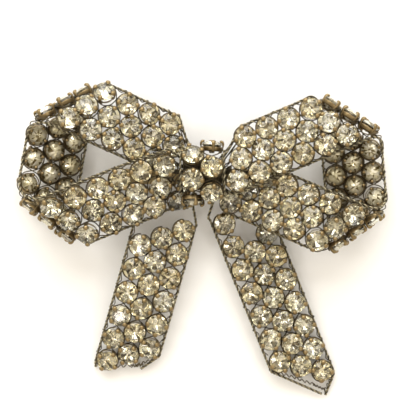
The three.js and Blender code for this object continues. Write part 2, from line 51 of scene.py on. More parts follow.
# ---- Settings ----------------------------------------------------------------
CLAW_AZIMUTHS = (45, 135, 225, 315)
CLAW_TURN = 25
SETTING_TIP = 0.035
EDGE_OFFSET = 2.72
EDGE_Z = 0.45
STRAND_R = 0.18
STRAND_TURN = 1.5
BINDING_R = 0.14
# How far from a cup's middle the binding wire runs round it.
HUG_R = 2.66
# Cups and stones are drawn this much wider than in CAD, where they keep a gap.
SETTING_GROW = 1.055
FACET_JITTER = 0.09

LOOPS = {
    "left": {
        "origin": (-4.75, 5.86, 6.34),
        "heading": 155.9,
        "pitch": 10.6,
        "roll": 9,
        "stone_pitch": 5.62,
        "spacing": 4.57,
        "top": -1,
        "folds": [
            (23.93, 37.6, 168, 3.27),
            (51.5, -28.9, 174.3, 4.49),
            (73.8, 0, -14.5, 45),
            (85.5, 40, 32, 6),
        ],
        "gather": (84, 8, -2, 7.45),
    },
    "right": {
        "origin": (6.53, 2.9, 10),
        "heading": 22.5,
        "pitch": 2.6,
        "roll": -2.2,
        "stone_pitch": 5.57,
        "spacing": 4.44,
        "top": 1,
        "folds": [
            (25, -36.2, 171.3, 2.79),
            (51.14, 31.5, 188.3, 3.84),
            (80.7, 20.6, -4.1, 45),
        ],
    },
}
LOOP_ROWS = {
    "left": {
        "outer": {"back_leg": (1, 5), "turn": (6, 10), "front_leg": (11, 16)},
        "middle": {"back_leg": (0.5, 5.5), "turn": (6.5, 9.5), "front_leg": (10.5, 16.5)},
        "inner": {"back_leg": (1, 6), "turn": (7, 9), "front_leg": (10, 16)},
    },
    "right": {
        "outer": {"back_leg": (1, 5), "turn": (6, 10), "front_leg": (11, 16)},
        "middle": {"back_leg": (0.5, 5.5), "turn": (6.5, 9.5), "front_leg": (10.5, 15.5)},
        "inner": {"back_leg": (0, 6), "turn": (7, 9), "front_leg": (10, 15)},
    },
}
TAILS = {
    "left": {
        "origin": (-7.74, -6.14, 5.4),
        "heading": -105,
        "pitch": 0.6,
        "roll": -7,
        "stone_pitch": 5.88,
        "spacing": 4.53,
        "top": -1,
        "folds": [(9.5, 7.4, 6.3, 40), (26, 21.7, 11, 32)],
    },
    "right": {
        "origin": (6.75, -4.15, 4.45),
        "heading": -68.2,
        "pitch": -5,
        "roll": -4.5,
        "stone_pitch": 6.01,
        "spacing": 4.4,
        "top": 1,
        "folds": [(11, -14.6, -4.3, 60), (26, -26, 5, 40)],
    },
}
TAIL_ROWS = {
    "left": {"inner": (1, 6), "middle": (1.5, 6.5), "outer": (2, 7)},
    "right": {"inner": (1, 7), "middle": (2.5, 7.5), "outer": (2, 8)},
}
# Wires wound to and fro across each tail's end: from and to, along and across.
TAIL_END_LACING = {
    "left": [
        ((6.5, 7.0), (6.4, 2.6)),
        ((6.95, 7.4), (2.6, -3.2)),
        ((7.45, 7.3), (-3.0, -7.0)),
        ((6.9, 7.1), (4.2, 1.6)),
    ],
    "right": [
        ((7.3, 7.9), (-6.6, -2.4)),
        ((7.9, 8.5), (-2.4, 1.6)),
        ((8.45, 8.85), (1.2, 3.4)),
        ((8.4, 8.9), (6.6, 3.2)),
    ],
}
KNOT_Y = 0.6
KNOT_Z = 8.5
KNOT_HALF_Y = 4.9
KNOT_HALF_Z = 3.0
# Each row of the knot: its place across, and its stones' places round the oval.
KNOT_ROWS = {"left": (-2.42, (-3.6, 1.3, 6)), "right": (2.05, (-6.2, -1.2, 3.8))}
KNOT_EDGES = (("left", -5.3, -6.4, 5.6), ("right", 5.0, -6.4, 5.8))
CORE_TURNS = 19
CORE_SPAN = (-4.6, 4.4)
CORE_HALF_Y = 3.8
CORE_HALF_Z = 1.95
CORE_WIRE_R = 0.27
NECK_STRANDS = 5
NECK_SPREAD = 0.26

# Start and end of each edge wire in stone pitches, and the points that lead it out of and into the knot.
LOOP_EDGES = {
    ("left", "outer"): (
        0.75, 16.4, [(-3.6, 7.6, 6.6), (-2.6, 4.6, 7.2)], [(-3.6, -7.4, 4.9), (-1.6, -4.2, 5.6)],
    ),
    ("left", "inner"): (
        0.1, 16.4, [(-6.2, -1.2, 7.0), (-3.4, -0.6, 7.2)], [(-5.4, 4.4, 8.6), (-3.2, 3.4, 8.0)],
    ),
    ("right", "outer"): (
        1.0,
        16.2,
        [(5.6, 5.6, 9.6), (3.6, 3.2, 8.6)],
        [(4.6, -7.2, 7.4), (4.7, -4.2, 10.0), (4.7, -0.8, 11.6), (4.7, 2.4, 11.2), (4.6, 5.2, 9.4)],
    ),
    ("right", "inner"): (
        0.0, 15.6, [(7.0, -4.2, 9.8), (4.6, -3.4, 8.8)], [(7.6, 1.6, 6.4), (4.0, 1.6, 6.6)],
    ),
}
TAIL_EDGES = {
    ("left", "inner"): (0.6, 7.1, [(-2.6, -5.2, 5.6), (-1.4, -2.4, 6.2)]),
    ("left", "outer"): (0.9, 7.5, [(-9.0, -5.4, 6.6), (-3.0, -2.6, 6.4)]),
    ("right", "inner"): (0.5, 9.0, [(2.8, -4.6, 5.0), (1.8, -2.4, 6.0)]),
    ("right", "outer"): (0.9, 9.0, [(9.4, -5.2, 4.6), (3.6, -2.2, 6.0)]),
}
# From this stone pitch on, an edge wire runs across the tail's end: start, length and shift across.
TAIL_CLOSING = {
    ("left", "inner"): (6.3, 0.8, -3.6),
    ("left", "outer"): (7.3, 0.5, 1.2),
    ("right", "inner"): (7.25, 1.75, 10),
    ("right", "outer"): (8.3, 0.7, -4),
}

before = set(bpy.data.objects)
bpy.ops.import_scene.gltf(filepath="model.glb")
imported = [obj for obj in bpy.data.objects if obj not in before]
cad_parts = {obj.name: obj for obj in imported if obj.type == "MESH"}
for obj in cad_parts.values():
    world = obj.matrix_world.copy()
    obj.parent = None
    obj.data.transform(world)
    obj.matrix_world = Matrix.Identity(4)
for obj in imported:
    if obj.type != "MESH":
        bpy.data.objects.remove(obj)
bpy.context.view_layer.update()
bar_low, bar_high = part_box("pin_bar")
OFFSET = np.array([(bar_low.x + bar_high.x) / 2 / MM, (bar_low.y + bar_high.y) / 2 / MM + 0.1, 0.0])
rng = np.random.default_rng(11)


# ---- Strips ------------------------------------------------------------------
def gather_shift(strip, u, v):
    """How far the strip's narrowing end moves a point across."""
    if "gather" not in strip or u <= strip["gather"][0]:
        return 0.0
    start, length, shift, shared = strip["gather"]
    share = min(max(1 - v / shared, 0), 1)
    return shift * share * ((u - start) / length) ** 2


def strip_frame(strip, u, v):
    """Point, along, across and stone side of a folded strip at u along it and v across it."""
    h, p, r = (math.radians(strip[key]) for key in ("heading", "pitch", "roll"))
    v = v + gather_shift(strip, u, v)
    origin = np.array(strip["origin"], float)
    along = np.array([math.cos(h) * math.cos(p), math.sin(h) * math.cos(p), math.sin(p)])
    level = np.array([-math.sin(h), math.cos(h), 0.0])
    up = np.cross(along, level)
    across = level * math.cos(r) + up * math.sin(r)
    face = up * math.cos(r) - level * math.sin(r)
    for at, skew, turn, radius in strip["folds"]:
        a, t, side = math.radians(skew), math.radians(abs(turn)), math.copysign(1, turn)
        past = (u - at) * math.cos(a) - v * math.sin(a)
        if past <= 0:
            break
        angle = min(past / radius, t)
        in_fold = past < radius * t
        travel = along * math.cos(a) - across * math.sin(a)
        crease = along * math.sin(a) + across * math.cos(a)
        new_travel = travel * math.cos(angle) - face * side * math.sin(angle)
        new_face = face * math.cos(angle) + travel * side * math.sin(angle)
        foot = (u - past * math.cos(a), v + past * math.sin(a)) if in_fold else (at, 0.0)
        point = origin + along * foot[0] + across * foot[1]
        point = point + travel * radius * math.sin(angle) - face * side * radius * (1 - math.cos(angle))
        along = new_travel * math.cos(a) + crease * math.sin(a)
        across = -new_travel * math.sin(a) + crease * math.cos(a)
        face = new_face
        if in_fold:
            return point, along, across, face
        origin = point - along * (at + radius * t * math.cos(a)) + across * radius * t * math.sin(a)
    return origin + along * u + across * v, along, across, face


def on_strip(strip, k, v, height):
    """A point over the strip, k stone pitches along it."""
    point, along, across, face = strip_frame(strip, k * strip["stone_pitch"], v)
    return point + face * height


def knot_frame(x, arc):
    """Point, along, across and stone side on the oval that the knot's rows lie on."""
    angle, travelled = 0.0, 0.0
    while travelled < abs(arc):
        slope = math.hypot(KNOT_HALF_Y * math.cos(angle), KNOT_HALF_Z * math.sin(angle))
        step = min(0.005, (abs(arc) - travelled) / slope + 1e-9)
        angle += step
        travelled += slope * step
    angle = math.copysign(angle, arc)
    point = np.array([x, KNOT_Y - KNOT_HALF_Y * math.sin(angle), KNOT_Z + KNOT_HALF_Z * math.cos(angle)])
    along = np.array([0, -KNOT_HALF_Y * math.cos(angle), -KNOT_HALF_Z * math.sin(angle)])
    along /= np.linalg.norm(along)
    across = np.array([1.0, 0, 0])
    return point, along, across, np.cross(along, across)


# ---- Meshes ------------------------------------------------------------------
class Build:
    """Collects points, faces and point values of one piece."""

    def __init__(self):
        self.points, self.faces, self.count = [], [], 0
        self.values, self.facets, self.kinds = {}, [], []

    def add(self, points, faces, facets=None, kinds=None, **values):
        points = np.asarray(points, float)
        self.faces += [tuple(i + self.count for i in face) for face in faces]
        self.facets += [0.5] * len(faces) if facets is None else list(facets)
        self.kinds += [0] * len(faces) if kinds is None else list(kinds)
        for key, value in values.items():
            self.values.setdefault(key, []).append(np.broadcast_to(value, len(points)).astype(float))
        self.points.append(points)
        self.count += len(points)

    def piece(self, name, material, body="brooch", slot=None, nodes=(), smooth=True):
        mesh = bpy.data.meshes.new(name)
        mesh.from_pydata(((np.vstack(self.points) + OFFSET) * MM).tolist(), [], self.faces)
        mesh.polygons.foreach_set("use_smooth", [smooth] * len(mesh.polygons))
        for key, chunks in self.values.items():
            layer = mesh.attributes.new(key, "FLOAT", "POINT")
            layer.data.foreach_set("value", np.concatenate(chunks).astype(np.float32))
        if any(self.kinds):
            layer = mesh.attributes.new("facet", "FLOAT", "FACE")
            layer.data.foreach_set("value", self.facets)
            mesh.polygons.foreach_set("material_index", self.kinds)
        for one in material if isinstance(material, tuple) else (material,):
            mesh.materials.append(one)
        mesh.update()
        register(bpy.data.objects.new(name, mesh), body, nodes)


def register(obj, body, nodes):
    """Puts a piece in the scene, on its body, in place of its CAD nodes."""
    bpy.context.scene.collection.objects.link(obj)
    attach(obj, body)
    if nodes:
        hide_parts(*nodes)


def ring_faces(rings, sides, closed=False):
    """Faces between rings of points; an open run is capped at both ends."""
    faces = []
    for i in range(rings if closed else rings - 1):
        n = (i + 1) % rings
        for j in range(sides):
            m = (j + 1) % sides
            faces.append((i * sides + j, i * sides + m, n * sides + m, n * sides + j))
    if not closed:
        faces.append(tuple(reversed(range(sides))))
        faces.append(tuple((rings - 1) * sides + j for j in range(sides)))
    return faces


def revolve(profile, sides):
    """A closed profile of radius and height, turned round the axis."""
    angles = np.arange(sides) / sides * 2 * math.pi
    rings = [np.stack([r * np.cos(angles), r * np.sin(angles), np.full(sides, z)], 1) for r, z in profile]
    return np.vstack(rings), ring_faces(len(profile), sides, True)


def cup_template():
    """Thin open ring under the stone, and four claws that go up behind and bend in over the stone.

    The third value says how dark each point is drawn, from 0 in the recesses to 1 at the claw tips: tarnish,
    with painted shade low down and a painted highlight at the tips."""
    profile = [
        (2.12, 0.42), (2.2, 0.38), (2.28, 0.62), (2.36, 0.95), (2.46, 1.28), (2.47, 1.42),
        (2.4, 1.44), (2.34, 1.3), (2.24, 0.98), (2.14, 0.68),
    ]
    sides = 28
    ring_points, faces = revolve(profile, sides)
    # Ring values: darker low down and lighter at the lip, tarnish with painted shade.
    rise = list(np.repeat([0.0, 0.05, 0.25, 0.45, 0.7, 0.8, 0.6, 0.3, 0.1, 0.0], sides))
    points = [ring_points]
    count = len(ring_points)
    # Distance out, height, half width and half thickness along a claw.
    path = [
        (1.62, 0.34, 0.14, 0.08), (1.72, 0.2, 0.3, 0.16), (1.95, 0.12, 0.38, 0.2),
        (2.2, 0.22, 0.36, 0.18), (2.36, 0.6, 0.3, 0.14), (2.44, 1.1, 0.32, 0.14),
        (2.52, 1.55, 0.36, 0.17), (2.56, 1.95, 0.4, 0.21), (2.52, 2.27, 0.46, 0.26),
        (2.38, 2.52, 0.54, 0.33), (2.18, 2.66, 0.58, 0.37), (1.98, 2.7, 0.52, 0.35),
        (1.82, 2.69, 0.38, 0.27), (1.73, 2.67, 0.18, 0.13),
    ]
    sides = 10
    for azimuth in CLAW_AZIMUTHS:
        a = math.radians(azimuth)
        out = np.array([math.cos(a), math.sin(a), 0])
        tangent = np.array([-math.sin(a), math.cos(a), 0])
        for i, (r, z, wide, thick) in enumerate(path):
            before, after = path[max(i - 1, 0)], path[min(i + 1, len(path) - 1)]
            run = out * (after[0] - before[0]) + np.array([0, 0, after[1] - before[1]])
            run /= np.linalg.norm(run)
            normal = np.cross(run, tangent)
            angles = np.arange(sides) / sides * 2 * math.pi
            ring = out * r + np.array([0, 0, z]) + np.outer(np.cos(angles) * thick, normal)
            points.append(ring + np.outer(np.sin(angles) * wide, np.cross(run, normal)))
            # Along a claw the value grows to the tip: painted shade at the foot and a painted highlight at the
            # tip, with tarnish.
            climb = 0.3 + 0.7 * max(i - 4, 0) / (len(path) - 5)
            rise += [0.85 if i < 3 else climb] * sides
        faces += [tuple(x + count for x in face) for face in ring_faces(len(path), sides)]
        count += len(path) * sides
    return np.vstack(points), faces, np.array(rise)


def stone_template():
    """Round chaton: table, star, kite and girdle facets above, and a cone of small facets below.

    Kind 0 is the glass above and kind 1 the foiled cone. The last value is the slice of the cone's points."""

    def ring(r, z, n, first):
        angles = (np.arange(n) + first) / n * 2 * math.pi
        return np.stack([r * np.cos(angles), r * np.sin(angles), np.full(n, z)], 1)

    parts = [
        ring(1.25, 2.7, 8, 0),
        ring(1.84, 2.44, 8, 0.5),
        ring(2.38, 2.04, 16, 0),
        ring(2.38, 1.92, 16, 0),
        ring(1.55, 1.12, 16, 0.5),
        ring(0.62, 0.5, 8, 0),
        np.array([[0, 0, 0.3]]),
    ]
    table, crown, girdle, lower, cone, tail, culet = np.cumsum([0, 8, 8, 16, 16, 16, 8])
    faces, kinds = [tuple(range(8))], [0]
    for i in range(8):
        j, k = (i + 1) % 8, (i - 1) % 8
        g, h, m = 2 * i, (2 * i + 1) % 16, (2 * i + 2) % 16
        above = [
            (table + j, table + i, crown + i),
            (table + i, crown + k, girdle + g, crown + i),
            (crown + i, girdle + g, girdle + h),
            (crown + i, girdle + h, girdle + m),
            (girdle + g, lower + g, lower + h, girdle + h),
            (girdle + h, lower + h, lower + m, girdle + m),
        ]
        below = [
            (lower + g, cone + g, lower + h),
            (lower + h, cone + h, lower + m),
            (lower + h, cone + g, cone + h),
            (lower + m, cone + h, cone + m),
            (cone + g, tail + i, cone + h),
            (cone + h, tail + i, tail + j),
            (cone + h, tail + j, cone + m),
            (tail + i, culet, tail + j),
        ]
        faces += above + below
        kinds += [0] * len(above) + [1] * len(below)
    return np.vstack(parts), faces, kinds, slice(cone, culet + 1)


CUP_POINTS, CUP_FACES, CUP_TARNISH_AND_SHADE = cup_template()
CUP_POINTS[:, :2] *= SETTING_GROW
STONE_POINTS, STONE_FACES, STONE_KINDS, STONE_CONE = stone_template()
STONE_POINTS[:, :2] *= SETTING_GROW


def place(points, at):
    """Template points moved into a strip or knot frame."""
    point, along, across, face = at
    return point + points[:, :1] * along + points[:, 1:2] * across + points[:, 2:3] * face


def spin(points, degrees):
    """Template points turned about their own axis."""
    a = math.radians(degrees)
    turned = points.copy()
    turned[:, 0] = points[:, 0] * math.cos(a) - points[:, 1] * math.sin(a)
    turned[:, 1] = points[:, 0] * math.sin(a) + points[:, 1] * math.cos(a)
    return turned


def jitter(at):
    """A setting tips a little in its wires, as hand-wired cups do."""
    point, along, across, face = at
    tip = rng.normal(0, SETTING_TIP, 2)
    face = face + along * tip[0] + across * tip[1]
    face /= np.linalg.norm(face)
    along = along - face * np.dot(along, face)
    along /= np.linalg.norm(along)
    return point, along, np.cross(face, along), face


def settings(name, frames, nodes, claw_turn=CLAW_TURN, stone_names=None, stone_nodes=None):
    """Cups and stones of one row. Claws sit at any angle within the turn given, either way.

    A stone's tone sets its tint, and bare says how far it faces backwards."""
    cups, stones = Build(), Build()
    for i, at in enumerate(frames):
        at = jitter(at)
        turned = spin(CUP_POINTS, 45 + rng.uniform(-claw_turn, claw_turn))
        cups.add(place(turned, at), CUP_FACES, rise=CUP_TARNISH_AND_SHADE)
        stone = Build() if stone_names else stones
        cut = STONE_POINTS.copy()
        cut[STONE_CONE] += rng.normal(0, FACET_JITTER, (len(cut[STONE_CONE]), 3))
        points = place(spin(cut, rng.uniform(0, 45)), at)
        # A random value per facet picks its painted reflection on the foil.
        facets = rng.uniform(0, 1, len(STONE_FACES))
        tone = rng.uniform(0, 1)
        face = at[3]
        turned_away = float(np.clip(-2 * face[2], 0, 1))
        stone.add(points, STONE_FACES, facets, STONE_KINDS, tone=tone, bare=turned_away)
        if stone_names:
            stone.piece(stone_names[i], STONE_MATERIALS, slot="stone", nodes=[stone_nodes[i]], smooth=False)
    cups.piece(f"{name}_cups", MAT["cup"], slot="cup", nodes=nodes)
    if not stone_names:
        stones.piece(f"{name}_stones", STONE_MATERIALS, slot="stone", smooth=False)


# ---- Wires -------------------------------------------------------------------
# Degrees round a cup, and height, where a binding wire hugs it.
HUG_ARC = ((-78, 0.75), (-52, 1.25), (-26, 1.5), (0, 1.55), (26, 1.5), (52, 1.25), (78, 0.75))
# One stitch of lacing: stone pitches along, place beyond the outer row, and height.
STITCH = (
    (0.0, 2.58, 1.3), (0.28, 2.1, 1.0), (0.42, 2.5, 0.9), (0.5, 3.1, 0.5), (0.58, 2.6, 0.0), (0.72, 2.1, 0.6),
)


def smooth_path(points, step):
    """Catmull-Rom curve through the points, sampled at an even step."""
    p = np.array(points, float)
    p = np.vstack([2 * p[0] - p[1], p, 2 * p[-1] - p[-2]])
    dense = []
    for i in range(1, len(p) - 2):
        n = max(2, int(np.linalg.norm(p[i + 1] - p[i]) / step * 2))
        t = np.linspace(0, 1, n, endpoint=False)[:, None]
        a, b, c, d = p[i - 1], p[i], p[i + 1], p[i + 2]
        square = (2 * a - 5 * b + 4 * c - d) * t**2
        cube = (3 * b - a - 3 * c + d) * t**3
        dense.append(0.5 * (2 * b + (c - a) * t + square + cube))
    dense = np.vstack(dense + [p[-2:-1]])
    lengths = np.r_[0, np.cumsum(np.linalg.norm(np.diff(dense, axis=0), axis=1))]
    count = max(4, int(lengths[-1] / step))
    even = np.linspace(0, lengths[-1], count)
    return np.stack([np.interp(even, lengths, dense[:, k]) for k in range(3)], 1), even


def carried_frames(path):
    """Tangents, and normals carried along the path without twist."""
    tangents = np.gradient(path, axis=0)
    tangents /= np.linalg.norm(tangents, axis=1)[:, None]
    normal = np.cross(tangents[0], [0.31, 0.17, 0.93])
    normals = []
    for t in tangents:
        normal = normal - t * np.dot(normal, t)
        normal /= np.linalg.norm(normal)
        normals.append(normal)
    normals = np.array(normals)
    return tangents, normals, np.cross(tangents, normals)


def tube(build, path, radius, sides, **values):
    """A round wire along a path, with one radius or one for each point."""
    _, normals, binormals = carried_frames(path)
    radius = np.broadcast_to(radius, len(path))
    points = []
    for j in range(sides):
        a = j / sides * 2 * math.pi
        points.append(path + (normals * math.cos(a) + binormals * math.sin(a)) * radius[:, None])
    points = np.stack(points, 1).reshape(-1, 3)
    build.add(points, ring_faces(len(path), sides), **values)


def twist(build, points, turn=STRAND_TURN, strand=STRAND_R, **values):
    """Two strands twisted together along a path."""
    path, lengths = smooth_path(points, turn / 9)
    _, normals, binormals = carried_frames(path)
    for half in (0, 1):
        a = lengths / turn * 2 * math.pi + half * math.pi
        swing = normals * np.cos(a)[:, None] + binormals * np.sin(a)[:, None]
        # One strand is painted darker and the other lighter: painted shade and a painted highlight that mark
        # the twist.
        tube(build, path + swing * strand * 0.96, strand, 6, tone=half * 0.9, **values)


def weave(build, strip, row, ks):
    """Two binding wires that hug each cup of a row on opposite sides and dive below between cups."""
    p = strip["stone_pitch"]
    for phase in (1, -1):
        points = []
        for i, k in enumerate(ks):
            side = phase * (1 if i % 2 == 0 else -1)
            lift = rng.uniform(-0.15, 0.15)
            for turn, z in HUG_ARC:
                a = math.radians(turn)
                du, dv = HUG_R * math.sin(a), HUG_R * math.cos(a)
                points.append(on_strip(strip, k + du / p, row + side * dv, z + lift))
            if k != ks[-1]:
                points.append(on_strip(strip, k + 0.5, row, 0.35 + 0.16 * phase))
        path, _ = smooth_path(points, 0.36)
        tube(build, path, BINDING_R, 5, tone=rng.uniform(0, 1))


def lace(build, strip, side, first, last):
    """A binding wire that ties the outer cups to the edge wire."""
    points = []
    k = first
    while k < last - 0.7:
        stray = rng.normal(0, 0.05)
        for dk, beyond, z in STITCH:
            v = side * (strip["spacing"] + beyond + stray)
            points.append(on_strip(strip, k + dk + stray * 0.3, v, z))
        k += 1
    path, _ = smooth_path(points, 0.3)
    tube(build, path, BINDING_R * 0.9, 5, tone=rng.uniform(0, 1))


# ---- Materials ---------------------------------------------------------------
def new_material(name):
    material = bpy.data.materials.new(name)
    material.use_nodes = True
    tree = material.node_tree
    shader = tree.nodes["Principled BSDF"]
    return material, tree, shader


def node(tree, kind, **inputs):
    made = tree.nodes.new(kind)
    for key, value in inputs.items():
        made.inputs[key].default_value = value
    return made


def ramp(tree, source, stops):
    """Colours, or single values, by the source."""
    made = tree.nodes.new("ShaderNodeValToRGB")
    while len(made.color_ramp.elements) < len(stops):
        made.color_ramp.elements.new(0.5)
    for element, (at, colour) in zip(made.color_ramp.elements, stops):
        element.position = at
        element.color = (*colour, 1) if len(colour) == 3 else (colour[0], colour[0], colour[0], 1)
    tree.links.new(source, made.inputs["Fac"])
    return made.outputs["Color"]


def multiplied(tree, factor, a, b):
    """Colour a, multiplied by colour b as far as the factor says."""
    made = tree.nodes.new("ShaderNodeMix")
    made.data_type = "RGBA"
    made.blend_type = "MULTIPLY"
    for value, socket in ((factor, 0), (a, 6), (b, 7)):
        if isinstance(value, bpy.types.NodeSocket):
            tree.links.new(value, made.inputs[socket])
        else:
            made.inputs[socket].default_value = value if socket == 0 else (*value, 1)
    return made.outputs[2]


def maths(tree, operation, a, b):
    """A math node; a and b are sockets or numbers."""
    made = tree.nodes.new("ShaderNodeMath")
    made.operation = operation
    for value, socket in ((a, 0), (b, 1)):
        if isinstance(value, bpy.types.NodeSocket):
            tree.links.new(value, made.inputs[socket])
        else:
            made.inputs[socket].default_value = value
    return made.outputs[0]


def noise(tree, scale, detail=3, roughness=0.55, stretch=None):
    coordinates = tree.nodes.new("ShaderNodeTexCoord").outputs["Object"]
    if stretch:
        mapping = tree.nodes.new("ShaderNodeMapping")
        mapping.inputs["Scale"].default_value = stretch
        tree.links.new(coordinates, mapping.inputs["Vector"])
        coordinates = mapping.outputs["Vector"]
    made = node(tree, "ShaderNodeTexNoise", Scale=scale, Detail=detail, Roughness=roughness)
    tree.links.new(coordinates, made.inputs["Vector"])
    return made.outputs["Fac"]


def scaled(tree, source, factor):
    return maths(tree, "MULTIPLY", source, factor)


def value_of(tree, name):
    """A value stored on the mesh."""
    made = tree.nodes.new("ShaderNodeAttribute")
    made.attribute_name = name
    return made.outputs["Fac"]


def bump(tree, shader, height, strength, distance):
    made = node(tree, "ShaderNodeBump", Strength=strength, Distance=distance)
    tree.links.new(height, made.inputs["Height"])
    tree.links.new(made.outputs["Normal"], shader.inputs["Normal"])


def metal(name, bright, dark, roughness, patch_scale, wear_and_shade="tone", metallic=0.9):
    """Aged metal: a dark film in patches, and darker where a stored value is low and brighter where it is
    high; on the cups that value adds painted shade in the low parts and a painted highlight on the claw tips
    to the tarnish.
    """
    material, tree, shader = new_material(name)
    patches = noise(tree, patch_scale, 5, 0.6)
    fine = noise(tree, patch_scale * 7, 3)
    level = maths(tree, "ADD", scaled(tree, value_of(tree, wear_and_shade), 0.62), scaled(tree, patches, 0.75))
    level = maths(tree, "ADD", level, scaled(tree, fine, 0.15))
    middle = tuple((a + b) / 2 for a, b in zip(bright, dark))
    colour = ramp(tree, level, [(0.32, dark), (0.6, middle), (0.88, bright)])
    tree.links.new(colour, shader.inputs["Base Color"])
    rough = ramp(tree, level, [(0.3, (min(roughness + 0.28, 0.9),)), (0.9, (roughness,))])
    tree.links.new(rough, shader.inputs["Roughness"])
    shader.inputs["Metallic"].default_value = metallic
    bump(tree, shader, fine, 0.25, 0.00006)
    return material


def glass(name):
    """Clear cut glass, warm in tint, a little dusty and scuffed."""
    material, tree, shader = new_material(name)
    haze = noise(tree, 700, 4, 0.6)
    stops = [(0.0, (0.99, 0.985, 0.94)), (0.6, (0.98, 0.96, 0.88)), (1.0, (0.96, 0.92, 0.8))]
    tint = ramp(tree, value_of(tree, "tone"), stops)
    tree.links.new(tint, shader.inputs["Base Color"])
    shader.inputs["Transmission Weight"].default_value = 1.0
    shader.inputs["IOR"].default_value = 1.56
    rough = ramp(tree, haze, [(0.42, (0.01,)), (0.72, (0.1,))])
    tree.links.new(rough, shader.inputs["Roughness"])
    bump(tree, shader, noise(tree, 2600, 2), 0.05, 0.00003)
    return material


def foil(name):
    """Silvering on the cone of each stone, yellowed with age. Each facet gets its own brightness from dark to
    white, painted reflections and painted glints, moved in patches where the silvering is worn.
    """
    material, tree, shader = new_material(name)
    wear_and_shade = noise(tree, 950, 4, 0.6)
    mottle = scaled(tree, maths(tree, "SUBTRACT", wear_and_shade, 0.5), 0.5)
    level = maths(tree, "ADD", value_of(tree, "facet"), mottle)
    # Facet brightness from dark to white: painted reflections, the white ones painted glints.
    stops = [
        (0.0, FOIL_PAINTED_DARK),
        (0.14, FOIL_PAINTED_DARK),
        (0.24, FOIL_MIDDLE),
        (0.46, FOIL_PALE),
        (0.78, FOIL_PALE),
        (0.86, FOIL_PAINTED_GLINT),
    ]
    colour = ramp(tree, level, stops)
    worn = scaled(tree, value_of(tree, "bare"), BARE_YELLOWING)
    tint = maths(tree, "ADD", scaled(tree, value_of(tree, "tone"), 0.3), worn)
    tinted = multiplied(tree, tint, colour, FOIL_YELLOW)
    tree.links.new(tinted, shader.inputs["Base Color"])
    silvered = maths(tree, "SUBTRACT", SILVERING, scaled(tree, value_of(tree, "bare"), BARE_LOSS))
    tree.links.new(silvered, shader.inputs["Metallic"])
    rough = ramp(tree, wear_and_shade, [(0.35, (0.06,)), (0.75, (0.3,))])
    tree.links.new(rough, shader.inputs["Roughness"])
    return material


def floor_material(name):
    material, tree, shader = new_material(name)
    wide = noise(tree, 14, 4, 0.5, (0.35, 6, 1))
    colour = ramp(tree, wide, [(0.3, (0.9, 0.895, 0.885)), (0.7, (0.93, 0.928, 0.92))])
    tree.links.new(colour, shader.inputs["Base Color"])
    shader.inputs["Roughness"].default_value = 0.6
    bump(tree, shader, noise(tree, 900, 3, 0.5, (0.3, 3, 1)), 0.08, 0.0001)
    return material


# Foil colours by facet: painted dark reflections up to painted white glints.
FOIL_PAINTED_DARK = (0.17, 0.135, 0.07)
FOIL_MIDDLE = (0.6, 0.565, 0.42)
FOIL_PALE = (0.97, 0.96, 0.85)
FOIL_PAINTED_GLINT = (1.0, 1.0, 1.0)
FOIL_YELLOW = (0.8, 0.72, 0.5)
SILVERING = 0.85
# Stones that face backwards show the outside of their cones, which is drawn duller and yellower.
BARE_LOSS = 0.6
BARE_YELLOWING = 0.6
MAT = {
    # The cups' metal is darker low down and lighter on the claw tips: tarnish with painted shade and a painted
    # highlight.
    "cup": metal(
        "aged_shaded_brass_cups", (0.27, 0.2, 0.1), (0.045, 0.03, 0.014), 0.3, 420, wear_and_shade="rise", metallic=0.95,
    ),
    "glass": glass("warm_cut_glass"),
    "foil": foil("yellowed_foil"),
    # The twist's strands differ in tone as painted shade and highlight, over patchy tarnish.
    "wire": metal("tarnish_and_shade_twist", (0.4, 0.35, 0.23), (0.03, 0.025, 0.016), 0.32, 500, metallic=0.85),
    "binding": metal("binding_wire", (0.1, 0.08, 0.045), (0.012, 0.01, 0.007), 0.42, 600, metallic=0.7),
    "pin": metal("aged_brass_pin", (0.6, 0.47, 0.25), (0.2, 0.14, 0.07), 0.3, 260, metallic=0.95),
    "steel": metal("pin_steel", (0.62, 0.6, 0.57), (0.3, 0.28, 0.25), 0.26, 300, metallic=1.0),
}

STONE_MATERIALS = (MAT["glass"], MAT["foil"])

# ---- Loops -------------------------------------------------------------------
for side, strip in LOOPS.items():
    rows = {"outer": strip["top"], "middle": 0, "inner": -strip["top"]}
    binding = Build()
    for row, legs in LOOP_ROWS[side].items():
        v = rows[row] * strip["spacing"]
        for leg, (first, last) in legs.items():
            ks = np.arange(first, last + 0.1)
            frames = [strip_frame(strip, k * strip["stone_pitch"], v) for k in ks]
            settings(f"{side}_loop_{leg}_{row}", frames, [f"{side}_loop_{leg}_{row}_row"])
        weave(binding, strip, v, list(np.arange(legs["back_leg"][0], legs["front_leg"][1] + 0.1)))
    for row in ("outer", "inner"):
        first, last, lead_in, lead_out = LOOP_EDGES[side, row]
        v = rows[row] * (strip["spacing"] + EDGE_OFFSET)
        stations = [on_strip(strip, k, v, EDGE_Z) for k in np.arange(first, last, 0.09)]
        build = Build()
        twist(build, list(reversed(lead_in)) + stations + lead_out)
        edge = f"{side}_loop_{row}_edge"
        build.piece(f"{edge}_twist", MAT["wire"], slot="wire", nodes=[f"{edge}_wire"])
        lace(binding, strip, rows[row], max(first, 0.5), last)
    binding.piece(f"{side}_loop_binding_wires", MAT["binding"], slot="wire")

